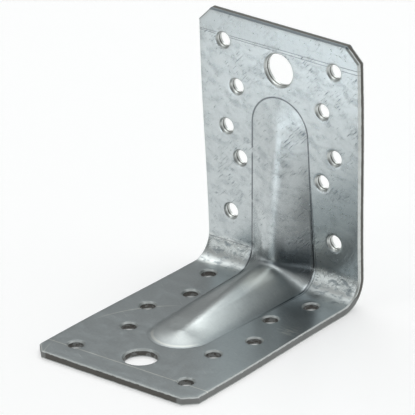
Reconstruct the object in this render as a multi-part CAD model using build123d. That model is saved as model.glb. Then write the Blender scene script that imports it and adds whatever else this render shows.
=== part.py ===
from build123d import *
from math import asin, atan2, cos, hypot, sin, tan
import os

# Angle bracket for timber: one sheet of galvanised steel, punched, folded once to a right angle
# and stiffened by a rib that is pressed inwards across the fold.
#
# X runs across the bracket, the base points to -Y and the upright stands at the back, +Z up.
# The origin is on the underside, in the middle of the base.
#
# The model is drawn from the heel, the sharp corner that the two outer faces would meet in if
# the fold had no radius, and moved to its origin at the end. A place on a leg is a distance from
# the heel. A height is measured from the leg's inner face. What is drawn for one leg lies along
# the base, and the upright's share is mirrored about the plane that halves the right angle.

# Sheet and fold. The fold's radius is the inner one.
WIDTH = 65.0
BASE_LENGTH = 90.0
UPRIGHT_LENGTH = 90.0
THICKNESS = 2.5
FOLD_RADIUS = 8.0

# Pressing the rib draws the long sides in, most at the fold. They stay straight at the free end.
SIDE_DRAW = 1.4
STRAIGHT_SIDE = 15.0

# Clipped corners at the free ends.
BASE_CORNER = 4.0
UPRIGHT_CORNER = 5.0

# Rib. On each leg it ends in a low round cap and climbs from there to the fold, growing wider.
# Its crest turns the fold with a radius of its own, about the same centre as the fold. The crest
# is level at the cap and at the fold, and an ease is the length in which it takes up its slope.
RIB_END_RADIUS = 11.0
RIB_END_HEIGHT = 1.3
RIB_WIDENING = 1.4
RIB_FOLD_RADIUS = 1.5
RIB_CREST_RADIUS = 9.0
RIB_FOOT_RADIUS = 2.0
RIB_END_EASE = 3.0
RIB_FOLD_EASE = 7.0
RIB_SPANS = 6

# Holes. Each leg has one bolt hole on its middle line, and nail holes in pairs either side of it.
BOLT_HOLE = 11.0
BOLT_FROM_END = 15.0
BOLT_FROM_RIB = 4.5
NAIL_HOLE = 5.0
OUTER_NAILS_FROM_SIDE = 10.0
INNER_NAILS_FROM_RIB = 6.5
LAST_ROW_FROM_END = 10.0
ROW_SPACE = 10.0

# Rows of nail holes, from the end of the fold to the first one and on from row to row.
BASE_ROW_STEPS = (4.5, 15.0, 15.0, 15.0)
UPRIGHT_ROW_STEPS = (9.5, 20.0, 10.0, 15.0)

# Cutting and punching roll the edges of the inner faces over. The roll is drawn as a bevel.
EDGE_ROLL = 0.5

# How far a construction body reaches past or into the face that it crosses.
OVERLAP = 0.4

outer_fold_radius = FOLD_RADIUS + THICKNESS
half_width = WIDTH / 2
waist = half_width - SIDE_DRAW
fold_axis = Axis((0, -outer_fold_radius, outer_fold_radius), (1, 0, 0))
fold_plane = Plane(origin=(0, 0, 0), z_dir=(0, 1, 1))


def across_base(distance, height=0):
    """Plane that stands across the base, its origin on the middle line, its Y pointing up."""
    return Plane(origin=(0, -distance, height), x_dir=(1, 0, 0), z_dir=(0, -1, 0))


# Sheet.


def side_draw(distance, length):
    """How far a side is drawn in, from all of it at the fold to nothing where the side is straight."""
    share = (distance - outer_fold_radius) / (length - STRAIGHT_SIDE - outer_fold_radius)
    share = min(max(share, 0), 1)
    return SIDE_DRAW * (1 - 3 * share**2 + 2 * share**3)


def leg_outline(length, corner):
    """Flat outline of a leg, from the end of the fold to the free end."""
    straight = length - STRAIGHT_SIDE
    right = Spline(
        (waist, -outer_fold_radius),
        (half_width, -straight),
        tangents=((0, -1), (0, -1)),
    )
    left = mirror(right, about=Plane.YZ)
    end = Polyline(
        (half_width, -straight),
        (half_width, corner - length),
        (half_width - corner, -length),
        (corner - half_width, -length),
        (-half_width, corner - length),
        (-half_width, -straight),
    )
    across = Line((-waist, -outer_fold_radius), (waist, -outer_fold_radius))
    return make_face(right + end + left + across)


def leg(length, corner):
    """Flat leg, with the outer edges of its inner face rolled over."""
    flat = extrude(leg_outline(length, corner), amount=THICKNESS)
    inner_face = flat.faces().sort_by(Axis.Z)[-1]
    rolled = inner_face.edges().sort_by(Axis.Y)[:-1]
    return chamfer(rolled, EDGE_ROLL)


def fold():
    """Quarter turn of the sheet's section, which has its two inner corners rolled over."""
    section = Rectangle(2 * waist, THICKNESS, align=(Align.CENTER, Align.MIN))
    section = chamfer(section.vertices().group_by(Axis.Y)[-1], EDGE_ROLL)
    return revolve(across_base(outer_fold_radius) * section, fold_axis, revolution_arc=90)


# Rib. The outside and the hollow of the rib are the same form, the hollow one thickness further in.


def rib_end(length):
    """Distance at which the rib ends, short of the bolt hole."""
    return length - BOLT_FROM_END - BOLT_HOLE / 2 - BOLT_FROM_RIB


def rib_climb(distance, cap_centre):
    """Share of the way up, 0 at the centre of the cap and 1 at the fold, level at both."""
    risen = cap_centre - distance
    left = distance - outer_fold_radius
    slope = 1 / (risen + left - (RIB_END_EASE + RIB_FOLD_EASE) / 2)
    if risen < RIB_END_EASE:
        return slope * risen**2 / (2 * RIB_END_EASE)
    if left < RIB_FOLD_EASE:
        return 1 - slope * left**2 / (2 * RIB_FOLD_EASE)
    return slope * (risen - RIB_END_EASE / 2)


def rib_half_outline(distance, cap_centre, skin):
    """Right half of the rib's section: root, straight flank, and the arc up to the crest."""
    climb = rib_climb(distance, cap_centre)
    foot = RIB_END_RADIUS + RIB_WIDENING * climb
    crest = RIB_END_HEIGHT + (FOLD_RADIUS - RIB_FOLD_RADIUS - RIB_END_HEIGHT) * climb
    centre = crest - RIB_CREST_RADIUS
    slope = asin(RIB_CREST_RADIUS / hypot(foot, centre)) + atan2(centre, foot)
    radius = RIB_CREST_RADIUS - skin
    root = -skin - OVERLAP
    touch = (radius * sin(slope), centre + radius * cos(slope))
    halfway = (radius * sin(slope / 2), centre + radius * cos(slope / 2))
    top = (0, centre + radius)
    root_end = (touch[0] + (touch[1] - root) / tan(slope), root)
    return Line((0, root), root_end) + Line(root_end, touch) + ThreePointArc(touch, halfway, top)


def rib_section(distance, cap_centre, skin):
    """Whole section of the rib, standing across the base."""
    right = rib_half_outline(distance, cap_centre, skin)
    whole = make_face(right + mirror(right, about=Plane.YZ))
    return across_base(distance, THICKNESS) * whole


def rib_cap(cap_centre, skin):
    """Round end of the rib: half its section, given half a turn about the line up through the crest."""
    right = rib_half_outline(cap_centre, cap_centre, skin)
    ends = right.vertices().sort_by(Axis.X)[:2]
    half = make_face(right + Line(ends[0].center(), ends[1].center()))
    axis = Axis((0, -cap_centre, 0), (0, 0, -1))
    return revolve(across_base(cap_centre, THICKNESS) * half, axis, revolution_arc=180)


def rib_half(length, skin):
    """Rib on one leg, from the cap to the end of the fold."""
    cap_centre = rib_end(length) - RIB_END_RADIUS
    eased = cap_centre - RIB_END_EASE
    span = (eased - outer_fold_radius) / RIB_SPANS
    stations = [cap_centre] + [eased - span * index for index in range(RIB_SPANS + 1)]
    climb = loft([rib_section(distance, cap_centre, skin) for distance in stations])
    return climb + rib_cap(cap_centre, skin)


def rib(skin):
    """Whole rib, which turns the fold about the fold's own axis."""
    on_base = rib_half(BASE_LENGTH, skin)
    on_upright = mirror(rib_half(UPRIGHT_LENGTH, skin), about=fold_plane)
    section = rib_section(outer_fold_radius, rib_end(BASE_LENGTH) - RIB_END_RADIUS, skin)
    turn = revolve(section, fold_axis, revolution_arc=90)
    return on_base + turn + on_upright


# Holes.


def nail_rows(steps, length):
    """Rows of nail holes that the leg has room for, before the last one near the free end."""
    last = length - LAST_ROW_FROM_END
    rows = []
    row = outer_fold_radius
    for step in steps:
        row += step
        if row <= last - ROW_SPACE:
            rows.append(row)
    return rows


def nail_places(steps, length):
    """Centres of the nail holes. Rows take the outer and the inner column in turn, the last the outer."""
    outer = half_width - OUTER_NAILS_FROM_SIDE
    inner = RIB_END_RADIUS + INNER_NAILS_FROM_RIB
    rows = nail_rows(steps, length)
    columns = [(outer, inner)[index % 2] for index in range(len(rows))]
    rows.append(length - LAST_ROW_FROM_END)
    columns.append(outer)
    places = []
    for row, column in zip(rows, columns):
        drawn_in = column - side_draw(row, length)
        places += [(-drawn_in, -row), (drawn_in, -row)]
    return places


def punch(diameter):
    """Body that cuts a hole through the base, with the rim at the inner face rolled over."""
    radius = diameter / 2
    rim = radius + EDGE_ROLL
    low = -OVERLAP
    high = THICKNESS + OVERLAP
    roll_start = THICKNESS - EDGE_ROLL
    wall = Polyline((0, high), (0, low), (radius, low), (radius, roll_start))
    roll = Polyline((radius, roll_start), (rim, THICKNESS), (rim, high), (0, high))
    return revolve(Plane.XZ * make_face(wall + roll), Axis.Z)


def punches(steps, length):
    """Everything that is punched out of one leg."""
    nails = [Pos(x, y) * punch(NAIL_HOLE) for x, y in nail_places(steps, length)]
    return nails + [Pos(0, BOLT_FROM_END - length) * punch(BOLT_HOLE)]


# Bracket.


def bracket():
    base = leg(BASE_LENGTH, BASE_CORNER)
    upright = mirror(leg(UPRIGHT_LENGTH, UPRIGHT_CORNER), about=fold_plane)
    sheet = base + fold() + upright

    ridge = rib(0)
    raised = sheet + ridge
    feet = new_edges(sheet, ridge, combined=raised)
    raised = fillet(feet, RIB_FOOT_RADIUS)

    hollow = rib(THICKNESS)
    pressed = raised - hollow
    mouth = new_edges(raised, hollow, combined=pressed)
    pressed = fillet(mouth, RIB_FOOT_RADIUS + THICKNESS)

    on_base = punches(BASE_ROW_STEPS, BASE_LENGTH)
    on_upright = [mirror(body, about=fold_plane) for body in punches(UPRIGHT_ROW_STEPS, UPRIGHT_LENGTH)]
    pierced = pressed - on_base - on_upright
    return Pos(0, BASE_LENGTH / 2, 0) * pierced


os.makedirs("parts", exist_ok=True)
export_step(bracket(), "parts/bracket.step")
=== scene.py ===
import functools
import math

import bpy
from mathutils import Matrix, Vector

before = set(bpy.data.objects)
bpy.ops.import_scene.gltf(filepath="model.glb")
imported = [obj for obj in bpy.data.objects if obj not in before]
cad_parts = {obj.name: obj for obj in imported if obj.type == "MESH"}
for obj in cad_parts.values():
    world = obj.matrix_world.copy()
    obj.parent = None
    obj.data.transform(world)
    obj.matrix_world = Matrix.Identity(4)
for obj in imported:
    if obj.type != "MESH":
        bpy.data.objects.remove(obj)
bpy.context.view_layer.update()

MM = 0.001

# Sizes of the bracket that its finish follows, in millimetres. The heel is where the outer faces of
# the two legs would meet, and a distance along a leg is measured from it.
HEEL = 45.0
FOLD_RADIUS = 8.0
FOLD_AXIS = 10.5
RIB_END_RADIUS = 11.0
RIB_CAP_CENTRE = 54.0
RIB_WIDENING = 1.4
LEG_LENGTH = 90.0
STRAIGHT_SIDE = 15.0
WAIST = 31.1
SIDE_DRAW = 1.4
CORNER = 4.5
BEVEL = 0.5
BOLT_ROW = 75.0
BOLT_RADIUS = 5.5
NAIL_RADIUS = 2.5

# Rows of nail holes: distance from the heel, and distance of both holes from the middle line where
# the sides aren't drawn in.
BASE_NAILS = ((15.0, 22.5), (30.0, 17.5), (45.0, 22.5), (60.0, 17.5), (80.0, 22.5))
UPRIGHT_NAILS = ((20.0, 22.5), (40.0, 17.5), (50.0, 22.5), (65.0, 17.5), (80.0, 22.5))

# Camera, at the photograph's angle. Lengths are in millimetres, and the clip in metres.
CAMERA_AZIMUTH = 140.25
CAMERA_ELEVATION = 24.99
CAMERA_ROLL = -1.77
CAMERA_DISTANCE = 1886.0
CAMERA_TARGET = (-0.3, 5.5, 40.9)
CAMERA_LENS = 517.05
CAMERA_SENSOR = 36.0
CAMERA_CLIP = (0.01, 20.0)

# Softboxes stand on a sphere round the bracket, and a small one hangs above the floor. Lengths are
# in metres and the spread is in degrees.
STUDIO_CENTRE = Vector((0.0, 0.0, 0.04))
LAMP_DISTANCE = 1.0
FLOOR_LAMP_PLACE = (-0.095, -0.148, 0.20)
FLOOR_LAMP_SIZE = (0.06, 0.09)
FLOOR_LAMP_POWER = 0.055
FLOOR_LAMP_SPREAD = 32.0
FLOOR_LAMP_COLOUR = (0.84, 0.93, 1.0)

# Surround. Directions are azimuth and elevation. The pale side fades out between two cosines, and
# the dark corner between two angles.
SURROUND_COLOUR = (0.98, 1.0, 1.0)
SURROUND_BEHIND = 0.72
SURROUND_IN_FRONT = 0.10
PALE_SIDE = (5, 20)
PALE_SIDE_FADE = (-0.8, 0.9)
DARK_CORNER = (-40, 12)
DARK_CORNER_FADE = (12, 38)
DARK_CORNER_DEPTH = 0.7

# Floor, a board whose half width is in metres.
FLOOR_HALF = 0.55
FLOOR_COLOUR = 0.58
FLOOR_GLOW = 0.405
FLOOR_ROUGHNESS = 0.35

# Colours of the steel. The dull and rubbed colours also paint shade and highlights on it.
ZINC = (0.545, 0.585, 0.592)
DULL_ZINC_AND_SHADE = (0.22, 0.255, 0.275)
RUBBED_ZINC_AND_HIGHLIGHT = (0.83, 0.84, 0.79)
SCORE_LINE_AND_CREASE_SHADE = (0.10, 0.11, 0.12)
TORN_STEEL = (0.14, 0.135, 0.125)
TORN_SIDE = (0.26, 0.265, 0.26)

# How far in from an edge and from a hole's rim the sheet still bends over, in millimetres.
EDGE_ROLL = 1.9
RIM_ROLL = 1.3

# How strongly each mark darkens the zinc towards the dull colour. Most are dull, worn zinc; the
# base's flat, the upright rib's lower right flank and the base's hole walls are painted shade.
DULLED_AND_SHADED_BY = {
    "worn_clouds": 0.45,
    "worn_scratches": 0.75,
    "streaks": 0.06,
    "grain": 0.15,
    "base_grain": 0.20,
    # Painted shade: the base's flat is painted darker than the upright.
    "painted_base_shade": 0.24,
    "clean_end": 0.14,
    "crushed": 0.45,
    "stretched": 0.3,
    # Painted shade: the upright rib's right flank just above the fold, and the walls and rims of
    # the base's holes.
    "painted_flank_shade": 0.9,
    "base_hole_shade": 0.8,
    "top_cut": 0.65,
}

# How strongly each mark lightens the zinc towards the rubbed colour. Most are rubbed zinc; the
# base's rib, a spot on it below the fold and the foot of the base's cap are painted highlights.
RUBBED_AND_HIGHLIGHTED_BY = {
    "base_score": 0.75,
    "sweep": 0.65,
    "pressed_fold": 0.3,
    "sheared_face": 0.4,
    "fine_scratches": 0.35,
    # Painted highlights: on the base's rib, in a spot on it below the fold, and along the foot of
    # its cap.
    "base_rib": 0.12,
    "painted_fold_highlight": 0.65,
    "painted_foot_highlight": 0.5,
    "scuffs": 0.7,
}

# How dark each line is. The two round the rib's foot are painted shade in its crease; the scores
# are scratched into the zinc.
LINED_BY = {"foot_crease_shade": 1.0, "second_crease_shade": 0.6, "score": 0.35, "fold_line": 0.5}

# Roughness of clean zinc, and what each mark adds to it.
ZINC_ROUGHNESS = 0.245
ROUGHENED_BY = {
    "clouds": 0.06,
    "scratches": 0.08,
    "crushed": 0.1,
    "stretched": 0.1,
    "torn": 0.3,
    "sheared": 0.15,
    "base": 0.035,
    "base_rib": 0.045,
}

# How far each mark stands out of the face, in millimetres.
RAISED_BY = {
    "ripples": 0.004,
    "waves": 0.02,
    "scratches": -0.02,
    "score": -0.03,
    "crushed": -0.02,
    "torn_grain": 0.06,
    "edge_roll": -0.14,
    "rim_roll": -0.18,
}


# Directions in the studio. Azimuth is measured from straight behind the bracket towards its right,
# and angles are in degrees.

def direction(azimuth, elevation):
    azimuth = math.radians(azimuth)
    elevation = math.radians(elevation)
    return Vector((
        math.sin(azimuth) * math.cos(elevation),
        math.cos(azimuth) * math.cos(elevation),
        math.sin(elevation),
    ))


def add_object(name, data, matrix):
    added = bpy.data.objects.new(name, data)
    bpy.context.scene.collection.objects.link(added)
    added.matrix_world = matrix
    return added


def make_camera():
    away = direction(CAMERA_AZIMUTH, CAMERA_ELEVATION)
    place = (Vector(CAMERA_TARGET) + away * CAMERA_DISTANCE) * MM
    turn = (-away).to_track_quat("-Z", "Y").to_matrix().to_4x4()
    roll = Matrix.Rotation(math.radians(CAMERA_ROLL), 4, "Z")
    camera = bpy.data.cameras.new("camera")
    camera.lens = CAMERA_LENS
    camera.sensor_width = CAMERA_SENSOR
    camera.clip_start, camera.clip_end = CAMERA_CLIP
    matrix = Matrix.Translation(place) @ turn @ roll
    bpy.context.scene.camera = add_object("camera", camera, matrix)


# Node trees. Each material is written as arithmetic on signals.

class Signal:
    """Number that a node tree works out at every point. Arithmetic on it adds nodes to the tree."""

    def __init__(self, tree, socket):
        self.tree = tree
        self.socket = socket

    def apply(self, operation, *others):
        node = self.tree.nodes.new("ShaderNodeMath")
        node.operation = operation
        for socket, value in zip(node.inputs, (self,) + others):
            feed(self.tree, value, socket)
        return Signal(self.tree, node.outputs[0])

    def __add__(self, other):
        return self.apply("ADD", other)

    def __sub__(self, other):
        return self.apply("SUBTRACT", other)

    def __mul__(self, other):
        return self.apply("MULTIPLY", other)

    def __truediv__(self, other):
        return self.apply("DIVIDE", other)

    def __rsub__(self, other):
        return self * -1 + other

    __radd__ = __add__
    __rmul__ = __mul__

    def size(self):
        return self.apply("ABSOLUTE")

    def at_least(self, other):
        return self.apply("MAXIMUM", other)

    def at_most(self, other):
        return self.apply("MINIMUM", other)


def feed(tree, value, socket):
    if isinstance(value, Signal):
        tree.links.new(value.socket, socket)
    else:
        socket.default_value = value


def new_tree(owner):
    owner.use_nodes = True
    owner.node_tree.nodes.clear()
    return owner.node_tree


def split(tree, socket):
    node = tree.nodes.new("ShaderNodeSeparateXYZ")
    tree.links.new(socket, node.inputs[0])
    return [Signal(tree, output) for output in node.outputs]


def length_of(first, second):
    return (first * first + second * second).apply("SQRT")


def rise(signal, low, high):
    """0 below low, 1 above high and smooth between."""
    node = signal.tree.nodes.new("ShaderNodeMapRange")
    node.interpolation_type = "SMOOTHSTEP"
    node.inputs["From Min"].default_value = low
    node.inputs["From Max"].default_value = high
    signal.tree.links.new(signal.socket, node.inputs["Value"])
    return Signal(signal.tree, node.outputs["Result"])


def fall(signal, low, high):
    """1 below low, 0 above high and smooth between."""
    return 1 - rise(signal, low, high)


def band(signal, half_width, edge):
    """1 where the signal is near 0, fading out over the edge."""
    return fall(signal.size(), half_width, half_width + edge)


def noise(place, size, detail=2.0, roughness=0.5, shift=0.0):
    """Cloudy noise from 0 to 1 whose patches are about size across. Size is one number or three."""
    tree = place[0].tree
    sizes = size if isinstance(size, tuple) else (size, size, size)
    joined = tree.nodes.new("ShaderNodeCombineXYZ")
    for socket, value, extent in zip(joined.inputs, place, sizes):
        feed(tree, value / extent + shift, socket)
    node = tree.nodes.new("ShaderNodeTexNoise")
    node.inputs["Scale"].default_value = 1.0
    node.inputs["Detail"].default_value = detail
    node.inputs["Roughness"].default_value = roughness
    tree.links.new(joined.outputs[0], node.inputs["Vector"])
    return Signal(tree, node.outputs[0])


def patches(place, size, low, high, detail=2.0, roughness=0.5, shift=0.0):
    """Noise that is cut to patches: 0 where it is below low, 1 where it is above high."""
    return rise(noise(place, size, detail, roughness, shift), low, high)


def blend(factor, first, second):
    """Mix of two colours, each a tuple or a socket, by a signal."""
    tree = factor.tree
    node = tree.nodes.new("ShaderNodeMix")
    node.data_type = "RGBA"
    colour_inputs = [socket for socket in node.inputs if socket.type == "RGBA"]
    tree.links.new(factor.socket, node.inputs[0])
    for socket, value in zip(colour_inputs, (first, second)):
        if isinstance(value, tuple):
            socket.default_value = value + (1,)
        else:
            tree.links.new(value, socket)
    return next(socket for socket in node.outputs if socket.type == "RGBA")


def weighted(marks, weights):
    """The marks that the weights name, each times its weight."""
    return [marks[name] * weight for name, weight in weights.items()]


# Studio.

def area_lamp(name, width, height, power, colour, matrix):
    lamp = bpy.data.lights.new(name, "AREA")
    lamp.shape = "RECTANGLE"
    lamp.size = width
    lamp.size_y = height
    lamp.energy = power
    lamp.color = colour
    add_object(name, lamp, matrix)
    return lamp


def softbox(name, azimuth, elevation, half_width, half_height, radiance, colour):
    """Area lamp that faces the bracket. Half sizes are the angles that it fills."""
    width = 2 * LAMP_DISTANCE * math.tan(math.radians(half_width))
    height = 2 * LAMP_DISTANCE * math.tan(math.radians(half_height))
    power = radiance * math.pi * width * height
    towards = direction(azimuth, elevation)
    turn = towards.to_track_quat("Z", "Y").to_matrix().to_4x4()
    matrix = Matrix.Translation(STUDIO_CENTRE + towards * LAMP_DISTANCE) @ turn
    area_lamp(name, width, height, power, colour, matrix)


def make_lights():
    softbox(
        "key_softbox", azimuth=-25, elevation=60, half_width=21, half_height=17,
        radiance=1.7, colour=(1.0, 1.0, 0.97),
    )
    softbox(
        "ceiling_softbox", azimuth=-30, elevation=76, half_width=31, half_height=29,
        radiance=1.2, colour=(0.97, 0.99, 1.0),
    )
    softbox(
        "side_softbox", azimuth=-147, elevation=30, half_width=11, half_height=27,
        radiance=1.05, colour=(0.96, 0.99, 1.0),
    )

    # A small gridded softbox lights the floor alone, at the front left. The rib mirrors its patch.
    place = Matrix.Translation(FLOOR_LAMP_PLACE)
    lamp = area_lamp("floor_softbox", *FLOOR_LAMP_SIZE, FLOOR_LAMP_POWER, FLOOR_LAMP_COLOUR, place)
    lamp.spread = math.radians(FLOOR_LAMP_SPREAD)


def make_world():
    """Plain surround: pale behind the bracket, darker in front and low at the left behind it."""
    world = bpy.data.worlds.new("surround")
    bpy.context.scene.world = world
    tree = new_tree(world)
    coordinates = tree.nodes.new("ShaderNodeTexCoord")

    def closeness(azimuth, elevation):
        """Cosine of the angle between the ray and a direction."""
        node = tree.nodes.new("ShaderNodeVectorMath")
        node.operation = "DOT_PRODUCT"
        node.inputs[1].default_value = direction(azimuth, elevation)
        tree.links.new(coordinates.outputs["Generated"], node.inputs[0])
        return Signal(tree, node.outputs["Value"])

    inner, outer = [math.cos(math.radians(angle)) for angle in DARK_CORNER_FADE]
    behind = rise(closeness(*PALE_SIDE), *PALE_SIDE_FADE)
    corner = rise(closeness(*DARK_CORNER), outer, inner)
    level = SURROUND_IN_FRONT + (SURROUND_BEHIND - SURROUND_IN_FRONT) * behind
    level = level * (1 - DARK_CORNER_DEPTH * corner)
    background = tree.nodes.new("ShaderNodeBackground")
    background.inputs["Color"].default_value = SURROUND_COLOUR + (1,)
    tree.links.new(level.socket, background.inputs["Strength"])
    output = tree.nodes.new("ShaderNodeOutputWorld")
    tree.links.new(background.outputs[0], output.inputs["Surface"])


def make_pale_board():
    """Pale material that the camera and the steel see white, and that still takes a shadow."""
    material = bpy.data.materials.new("pale_floor")
    tree = new_tree(material)
    path = tree.nodes.new("ShaderNodeLightPath")
    seen = Signal(tree, path.outputs["Is Camera Ray"])
    seen = seen.at_least(Signal(tree, path.outputs["Is Glossy Ray"]))
    seen = seen.at_least(Signal(tree, path.outputs["Is Transmission Ray"]))
    matt = tree.nodes.new("ShaderNodeBsdfPrincipled")
    matt.inputs["Base Color"].default_value = (FLOOR_COLOUR, FLOOR_COLOUR, FLOOR_COLOUR, 1)
    matt.inputs["Roughness"].default_value = FLOOR_ROUGHNESS
    glow = tree.nodes.new("ShaderNodeEmission")
    glow.inputs["Color"].default_value = (1, 1, 1, 1)
    tree.links.new((seen * FLOOR_GLOW).socket, glow.inputs["Strength"])
    both = tree.nodes.new("ShaderNodeAddShader")
    tree.links.new(matt.outputs[0], both.inputs[0])
    tree.links.new(glow.outputs[0], both.inputs[1])
    output = tree.nodes.new("ShaderNodeOutputMaterial")
    tree.links.new(both.outputs[0], output.inputs["Surface"])
    return material


def make_floor():
    half = FLOOR_HALF
    corners = [(-half, -half, 0), (half, -half, 0), (half, half, 0), (-half, half, 0)]
    mesh = bpy.data.meshes.new("floor")
    mesh.from_pydata(corners, [], [(0, 1, 2, 3)])
    mesh.materials.append(make_pale_board())
    floor = add_object("floor", mesh, Matrix())


# Steel. Marks are drawn on the sheet as it was before it was folded. Each is a signal, 1 where the
# mark is and 0 where it isn't, and two numbers in a rise or a fall are the places between which it
# fades, in millimetres.

def straightness(row):
    """How far the sides have come back out at a row: 0 at the fold, 1 where they are straight."""
    share = (row - FOLD_AXIS) / (LEG_LENGTH - STRAIGHT_SIDE - FOLD_AXIS)
    share = min(max(share, 0), 1)
    return 3 * share**2 - 2 * share**3


class Sheet:
    """Where a point of the bracket lies on the flat sheet. Lengths are in millimetres.

    x runs across the sheet. up runs along it, from 0 in the middle of the fold up the upright, and
    below 0 down the base. depth is 0 at the inner face and below 0 where the rib stands proud.
    along is the distance from the heel, which says the same on both legs.
    """

    def __init__(self, tree):
        coordinates = tree.nodes.new("ShaderNodeTexCoord")
        x, y, z = [part / MM for part in split(tree, coordinates.outputs["Object"])]
        back = (y - (HEEL - FOLD_AXIS)).at_least(0)
        down = (FOLD_AXIS - z).at_least(0)
        on_upright = (z - FOLD_AXIS).at_least(0)
        on_base = (HEEL - FOLD_AXIS - y).at_least(0)
        turn = back.apply("ARCTAN2", down)

        self.x = x
        self.up = on_upright - on_base + FOLD_RADIUS * (turn - math.pi / 4)
        self.from_axis = length_of(back, down)
        self.depth = self.from_axis - FOLD_RADIUS
        self.place = (self.x, self.up, self.depth)
        self.grain = noise(self.place, size=0.9, detail=3.0, roughness=0.6, shift=3.0)
        self.along = z.at_least(HEEL - y)
        self.upright = rise(self.up, -1.0, 1.0)
        self.base = 1 - self.upright

        # The normal of a whole face points through the sheet, and that of a cut edge along it. The
        # bevel between them counts as cut, at 0.71 through.
        normal = split(tree, coordinates.outputs["Normal"])
        through = ((normal[1] * back - normal[2] * down) / self.from_axis).size()
        self.cut = fall(through, 0.73, 0.79)
        self.face = 1 - self.cut

        # The rib's edge is the line of its foot, 0 on it and below 0 on the rib.
        climb = (RIB_CAP_CENTRE - self.along) / (RIB_CAP_CENTRE - FOLD_AXIS)
        widening = RIB_WIDENING * climb.at_least(0).at_most(1)
        self.past_cap = (self.along - RIB_CAP_CENTRE).at_least(0)
        self.rib_edge = length_of(x, self.past_cap) - RIB_END_RADIUS - widening
        self.rib = fall(self.rib_edge, -1.0, 0.3)
        self.base_rib = fall(self.rib_edge, -4.0, 0.0) * self.base

        # Distances in from the edges of the sheet and from the rims of the holes.
        drawn_side = SIDE_DRAW * rise(self.along, FOLD_AXIS, LEG_LENGTH - STRAIGHT_SIDE)
        self.side = WAIST + drawn_side - x.size()
        self.end = LEG_LENGTH - self.along
        self.corner = (self.side + self.end - CORNER) * math.sqrt(0.5)
        self.rim = self.from_rim()
        self.at_hole = fall(self.rim, 0.6, 1.0)

    def from_rim(self):
        """Distance from the nearest hole. The other leg's nail holes are put out of reach."""
        out_of_reach = 99.0
        rim = length_of(self.x, self.along - BOLT_ROW) - BOLT_RADIUS
        for nails, other_leg in ((BASE_NAILS, self.upright), (UPRIGHT_NAILS, self.base)):
            distances = []
            for row, column in nails:
                drawn_in = column - SIDE_DRAW * (1 - straightness(row))
                distances.append(length_of(self.x.size() - drawn_in, self.along - row))
            nearest = functools.reduce(Signal.at_most, distances)
            rim = rim.at_most(nearest - NAIL_RADIUS + out_of_reach * other_leg)
        return rim

    def slanted(self, slant):
        """Place for noise whose patches lean over by the slant, which is a slope."""
        return (self.x + slant * self.up, self.up, self.depth)

    def turned(self, slope):
        """Place for noise whose patches are turned to lie diagonally, at the slope."""
        return (self.x + slope * self.up, self.up - slope * self.x, self.depth)

    def ruled(self, up, slope, half_width, edge):
        """Straight line across the sheet, which fades out over the edge."""
        return band(self.up - up - slope * self.x, half_width, edge)

    def ring(self, x, up, radius, half_width, edge):
        """Circle on the sheet, which fades out over the edge."""
        return band(length_of(self.x - x, self.up - up) - radius, half_width, edge)

    def round_rib(self, out, half_width, edge):
        """Line that runs round the rib at a distance out from its foot."""
        return band(self.rib_edge - out, half_width, edge)

    def spot(self, x, up, squeeze, inner, outer):
        """Round spot, squeezed along the sheet, which fades out between two radii."""
        return fall(length_of(self.x - x, squeeze * (self.up - up)), inner, outer)


def zinc_marks(sheet):
    """Clouds, grain, streaks and scratches in the zinc, how worn it is, and painted shade on the
    base.
    """
    clouds = patches(
        sheet.slanted(0.3), size=(5.0, 3.5, 5.0), low=0.40, high=0.75, detail=6.0, roughness=0.66,
    )
    groups = patches(
        sheet.place, size=9.0, low=0.46, high=0.62, detail=3.0, roughness=0.6, shift=17.0,
    )
    strokes = patches(
        sheet.turned(-1.0), size=(0.38, 4.5, 3.0), low=0.58, high=0.68, detail=1.0, shift=11.0,
    )
    fine_strokes = patches(
        sheet.turned(1.7), size=(0.5, 16.0, 3.0), low=0.66, high=0.72, roughness=0.6, shift=29.0,
    )
    streaks = patches(
        sheet.place, size=(0.5, 14.0, 4.0), low=0.5, high=0.75, detail=3.0, roughness=0.6,
        shift=7.0,
    )
    grain = sheet.grain - 0.5
    scratches = strokes * groups * sheet.upright

    # Above the scored lines the zinc is clean, and the base is less worn than the upright.
    clean_end = rise(sheet.up, 77.0, 79.0)
    worn = (0.3 + 0.7 * sheet.upright + 0.15 * sheet.base_rib) * (1 - 0.8 * clean_end)
    return {
        "clouds": clouds,
        "worn_clouds": clouds * worn,
        "scratches": scratches,
        "worn_scratches": scratches * worn,
        "fine_scratches": fine_strokes * sheet.base,
        "streaks": streaks,
        "grain": grain,
        "base_grain": grain * sheet.base,
        "ripples": noise(sheet.place, size=1.4, shift=41.0),
        "waves": noise(sheet.place, size=9.0, detail=1.0, shift=43.0),
        "clean_end": clean_end,
        "base": sheet.base,
        # Painted shade: the base's flat, off its rib, is painted darker.
        "painted_base_shade": fall(sheet.up, -9.0, -5.5) * (1 - sheet.base_rib),
    }


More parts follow.
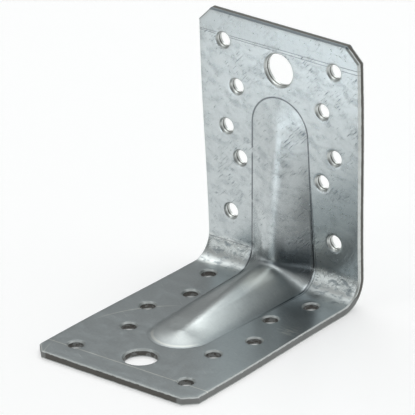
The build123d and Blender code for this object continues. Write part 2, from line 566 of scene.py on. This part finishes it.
def press_marks(sheet):
    """Painted shade round the rib's foot, crushed zinc in the fold, painted shade and highlights on
    the rib.
    """
    x, up = sheet.x, sheet.up
    from_fold = up.size()

    # The foot's line is painted shade in the crease at the rib's foot. It breaks off here and
    # there, and is faint towards the base's cap. A second line of painted shade runs outside it on
    # the right, and closes in on it away from the fold.
    broken = patches(sheet.place, size=6.0, low=0.3, high=0.45, shift=19.0)
    foot_crease_shade = sheet.round_rib(out=0.30, half_width=0.16, edge=0.24) * broken * sheet.face
    foot_crease_shade = foot_crease_shade * (0.15 + 0.7 * rise(up, -38.0, -8.0))
    second_crease_shade = sheet.round_rib(out=1.25 - 0.02 * from_fold, half_width=0.06, edge=0.2)
    second_crease_shade = second_crease_shade * rise(x, 0.0, 1.0) * fall(from_fold, 30.0, 42.0) * sheet.face

    # A dark line runs across the fold near its upper edge at the left, and a painted highlight
    # lines the foot of the base's cap.
    fold_line = sheet.ruled(up=5.0, slope=0.01, half_width=0.08, edge=0.25)
    fold_line = fold_line * fall(x, -13.5, -12.5) * sheet.face
    painted_foot_highlight = sheet.round_rib(out=-1.2, half_width=0.2, edge=0.5)
    painted_foot_highlight = painted_foot_highlight * rise(sheet.past_cap, 2.0, 6.0) * sheet.base

    # The inside of the fold is pressed bright beside the rib, and in places its zinc is crushed.
    # Where the rib turns the fold, the steel is stretched. Above the fold the rib's right flank is
    # painted dark, a painted shade, and below it a spot on the base's rib is a painted highlight.
    in_fold = fall(from_fold, 4.5, 6.5) * sheet.face
    in_fold = in_fold * rise(sheet.rib_edge, 0.5, 2.5) * fall(sheet.depth, 0.5, 1.5)
    crushed = in_fold * patches(
        sheet.place, size=(3.0, 1.6, 3.0), low=0.47, high=0.62, detail=4.0, roughness=0.65,
        shift=23.0,
    )
    # Painted shade: the upright rib's right flank just above the fold is painted dark.
    painted_flank_shade = sheet.rib * rise(up, -1.0, 3.0) * fall(up, 7.0, 18.0) * rise(x, -1.0, 4.0)
    # Painted highlight: a bright spot painted on the base's rib below the fold.
    painted_fold_highlight = sheet.rib * sheet.spot(x=1.5, up=-12.5, squeeze=0.6, inner=1.5, outer=6.5)
    return {
        "foot_crease_shade": foot_crease_shade,
        "second_crease_shade": second_crease_shade,
        "fold_line": fold_line,
        "painted_foot_highlight": painted_foot_highlight,
        "crushed": crushed,
        "pressed_fold": in_fold * (1 - crushed),
        "stretched": fall(from_fold, 4.5, 8.0) * fall(sheet.from_axis, 3.0, 6.5),
        "painted_flank_shade": painted_flank_shade,
        "painted_fold_highlight": painted_fold_highlight,
        "base_rib": sheet.base_rib,
    }


def handling_marks(sheet):
    """Scored lines near both ends, an arc of scuff on the base and small scuffs at its right."""
    x, up = sheet.x, sheet.up
    upper_score = sheet.ruled(up=78.2, slope=0.008, half_width=0.02, edge=0.16)
    lower_score = sheet.ruled(up=77.3, slope=-0.004, half_width=0.02, edge=0.16)
    sweep = sheet.ring(x=11.4, up=-69.2, radius=42.3, half_width=0.06, edge=0.3)
    sweep = sweep * rise(x, -31.0, -26.0) * fall(x, -18.0, -12.0) * fall(up, -20.0, -10.0)
    scuffs = patches(sheet.slanted(0.2), size=(6.0, 0.45, 3.0), low=0.5, high=0.6, shift=53.0)
    return {
        "score": upper_score.at_least(lower_score),
        "base_score": sheet.ruled(up=-77.6, slope=0.012, half_width=0.08, edge=0.22),
        "sweep": sweep,
        "scuffs": scuffs * sheet.spot(x=27.0, up=-28.57, squeeze=1.4, inner=2.5, outer=6.5),
    }


def cut_marks(sheet):
    """Cut edges: rolled over at the inner face, then sheared, torn, and ending in a bright burr."""
    upright, base, at_hole = sheet.upright, sheet.base, sheet.at_hole
    raggedness = noise(sheet.place, size=1.6, detail=3.0, roughness=0.6, shift=31.0) - 0.5
    ragged = sheet.depth + 0.4 * raggedness

    # The sheared face reaches deeper on the upright and deepest in its holes, which also have the
    # broadest burr. In the upright's holes this is painted light: their walls are lightened to
    # stand in for the white floor seen through them.
    held = (0.3 + 0.2 * at_hole) * upright - 0.28 * base * (1 - at_hole)
    burr = 0.55 * at_hole * upright
    torn = sheet.cut * rise(ragged - held, 0.55, 0.75) * fall(ragged + burr, 2.1, 2.25)
    sheared = sheet.cut * (1 - torn)
    top_cut = sheet.cut * fall(sheet.end, 0.6, 1.0) * upright

    # The base's long sides and parts of its holes tore paler than the ends.
    side_cut = fall(sheet.side.at_most(sheet.corner), 0.6, 1.2) * base
    in_hole = at_hole * base * patches(
        sheet.place, size=(1.6, 1.6, 1.2), low=0.46, high=0.58, roughness=0.6, shift=47.0,
    )

    # The faces bend over towards an edge or a rim, less on the base.
    inside = sheet.side.at_most(sheet.end).at_most(sheet.corner)
    edge_roll = (1 - inside.at_least(BEVEL) / EDGE_ROLL).at_least(0)
    rim_roll = (1 - sheet.rim.at_least(BEVEL) / RIM_ROLL).at_least(0)
    roll_share = 0.4 + 0.6 * upright
    return {
        "torn": torn,
        "torn_grain": torn * sheet.grain,
        "pale_tear": side_cut.at_least(in_hole),
        "sheared": sheared,
        "sheared_face": sheared * (1 - top_cut),
        "top_cut": top_cut,
        # Painted shade: the walls and rims of the base's holes are painted darker, damping their
        # highlight.
        "base_hole_shade": at_hole * sheet.cut * base,
        "edge_roll": edge_roll * edge_roll * roll_share,
        "rim_roll": rim_roll * rim_roll * roll_share,
    }


def make_steel():
    material = bpy.data.materials.new("galvanised_steel")
    tree = new_tree(material)
    sheet = Sheet(tree)
    marks = {
        **zinc_marks(sheet),
        **press_marks(sheet),
        **handling_marks(sheet),
        **cut_marks(sheet),
    }

    # Painted shade and painted highlights go into the colour through the same blends as the wear.
    dull_and_shade = sum(weighted(marks, DULLED_AND_SHADED_BY)).at_least(0).at_most(1)
    rubbed_and_highlight = sum(weighted(marks, RUBBED_AND_HIGHLIGHTED_BY)).at_most(1)
    lined = functools.reduce(Signal.at_least, weighted(marks, LINED_BY))
    colour = blend(dull_and_shade, ZINC, DULL_ZINC_AND_SHADE)
    colour = blend(rubbed_and_highlight, colour, RUBBED_ZINC_AND_HIGHLIGHT)
    colour = blend(lined, colour, SCORE_LINE_AND_CREASE_SHADE)
    colour = blend(marks["torn"], colour, blend(marks["pale_tear"], TORN_STEEL, TORN_SIDE))
    roughness = sum(weighted(marks, ROUGHENED_BY)) + ZINC_ROUGHNESS

    relief = sum(weighted(marks, RAISED_BY))
    bump = tree.nodes.new("ShaderNodeBump")
    bump.inputs["Strength"].default_value = 1.0
    bump.inputs["Distance"].default_value = MM
    tree.links.new(relief.socket, bump.inputs["Height"])

    shader = tree.nodes.new("ShaderNodeBsdfPrincipled")
    shader.inputs["Metallic"].default_value = 1.0
    tree.links.new(colour, shader.inputs["Base Color"])
    tree.links.new(roughness.socket, shader.inputs["Roughness"])
    tree.links.new(bump.outputs[0], shader.inputs["Normal"])
    output = tree.nodes.new("ShaderNodeOutputMaterial")
    tree.links.new(shader.outputs[0], output.inputs["Surface"])
    return material


def dress_bracket():
    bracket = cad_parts["bracket"]
    bracket.data.materials.clear()
    bracket.data.materials.append(make_steel())


bpy.context.scene.view_settings.view_transform = "Standard"
make_camera()
make_world()
make_lights()
make_floor()
dress_bracket()
